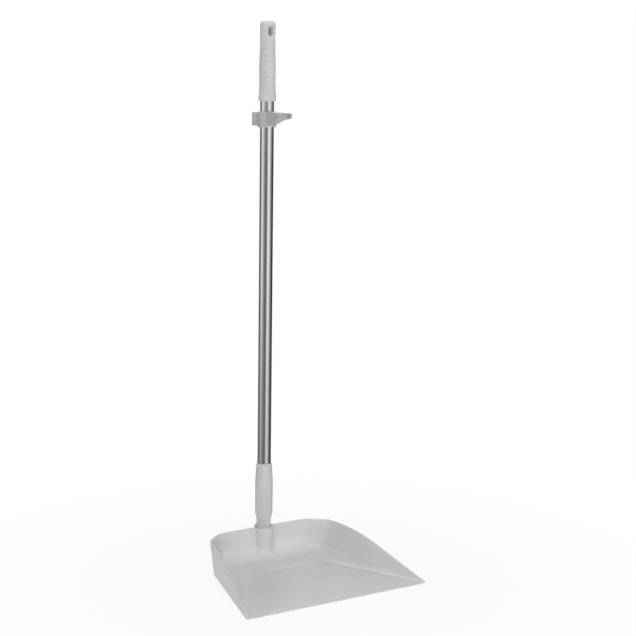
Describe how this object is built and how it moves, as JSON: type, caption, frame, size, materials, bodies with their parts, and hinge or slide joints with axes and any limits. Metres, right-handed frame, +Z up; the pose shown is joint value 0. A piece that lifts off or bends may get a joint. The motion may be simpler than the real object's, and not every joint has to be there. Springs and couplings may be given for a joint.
{
  "type": "lobby dustpan",
  "caption": "Upright dustpan: a flared moulded scoop with a screw-in tube handle, a ribbed grip with a hanging hole, and a sliding clip that carries a broom.",
  "frame": {"origin": "on the floor, in the middle plane, midway between the front lip and the handle's axis", "axes": "+Z up along the handle, -Y out of the mouth, +X to the right of someone who stands in front and looks into the mouth"},
  "size_m": [0.3768, 0.2861, 1.0045],
  "materials": {
    "pan_plastic": "smooth satin light grey moulding",
    "fitting_plastic": "satin light grey moulding",
    "clip_plastic": "satin mid grey moulding",
    "liner_plastic": "plain low-friction plastic",
    "seal_rubber": "matt light grey silicone",
    "tube_metal": "polished, anodised"
  },
  "bodies": {
    "pan": {"pan": "pan_plastic"},
    "washer": {"sealing_washer": "seal_rubber"},
    "handle": {"screw_spigot": "fitting_plastic", "ferrule": "fitting_plastic", "tube": "tube_metal", "grip": "fitting_plastic"},
    "liner": {"clip_liner": "liner_plastic"},
    "clip": {"broom_clip": "clip_plastic"}
  },
  "joints": [
    {"name": "washer_rise", "type": "slide", "parent": "pan", "child": "washer", "axis": [0, 0, 1], "range_m": [0, 0.025]},
    {"name": "handle_turn", "type": "hinge", "parent": "washer", "child": "handle", "pos_m": [0, 0.131, 0.066], "axis": [0, 0, 1], "range_deg": [0, 1800]},
    {"name": "clip_slide", "type": "slide", "parent": "handle", "child": "liner", "axis": [0, 0, 1], "range_m": [-0.624, 0.018]},
    {"name": "clip_swivel", "type": "hinge", "parent": "liner", "child": "clip", "pos_m": [0, 0.131, 0.8295], "axis": [0, 0, 1], "continuous": true}
  ],
  "couplings": [
    {"joint": "handle_turn", "follows": "washer_rise", "rad_per_m": 1256.6}
  ]
}
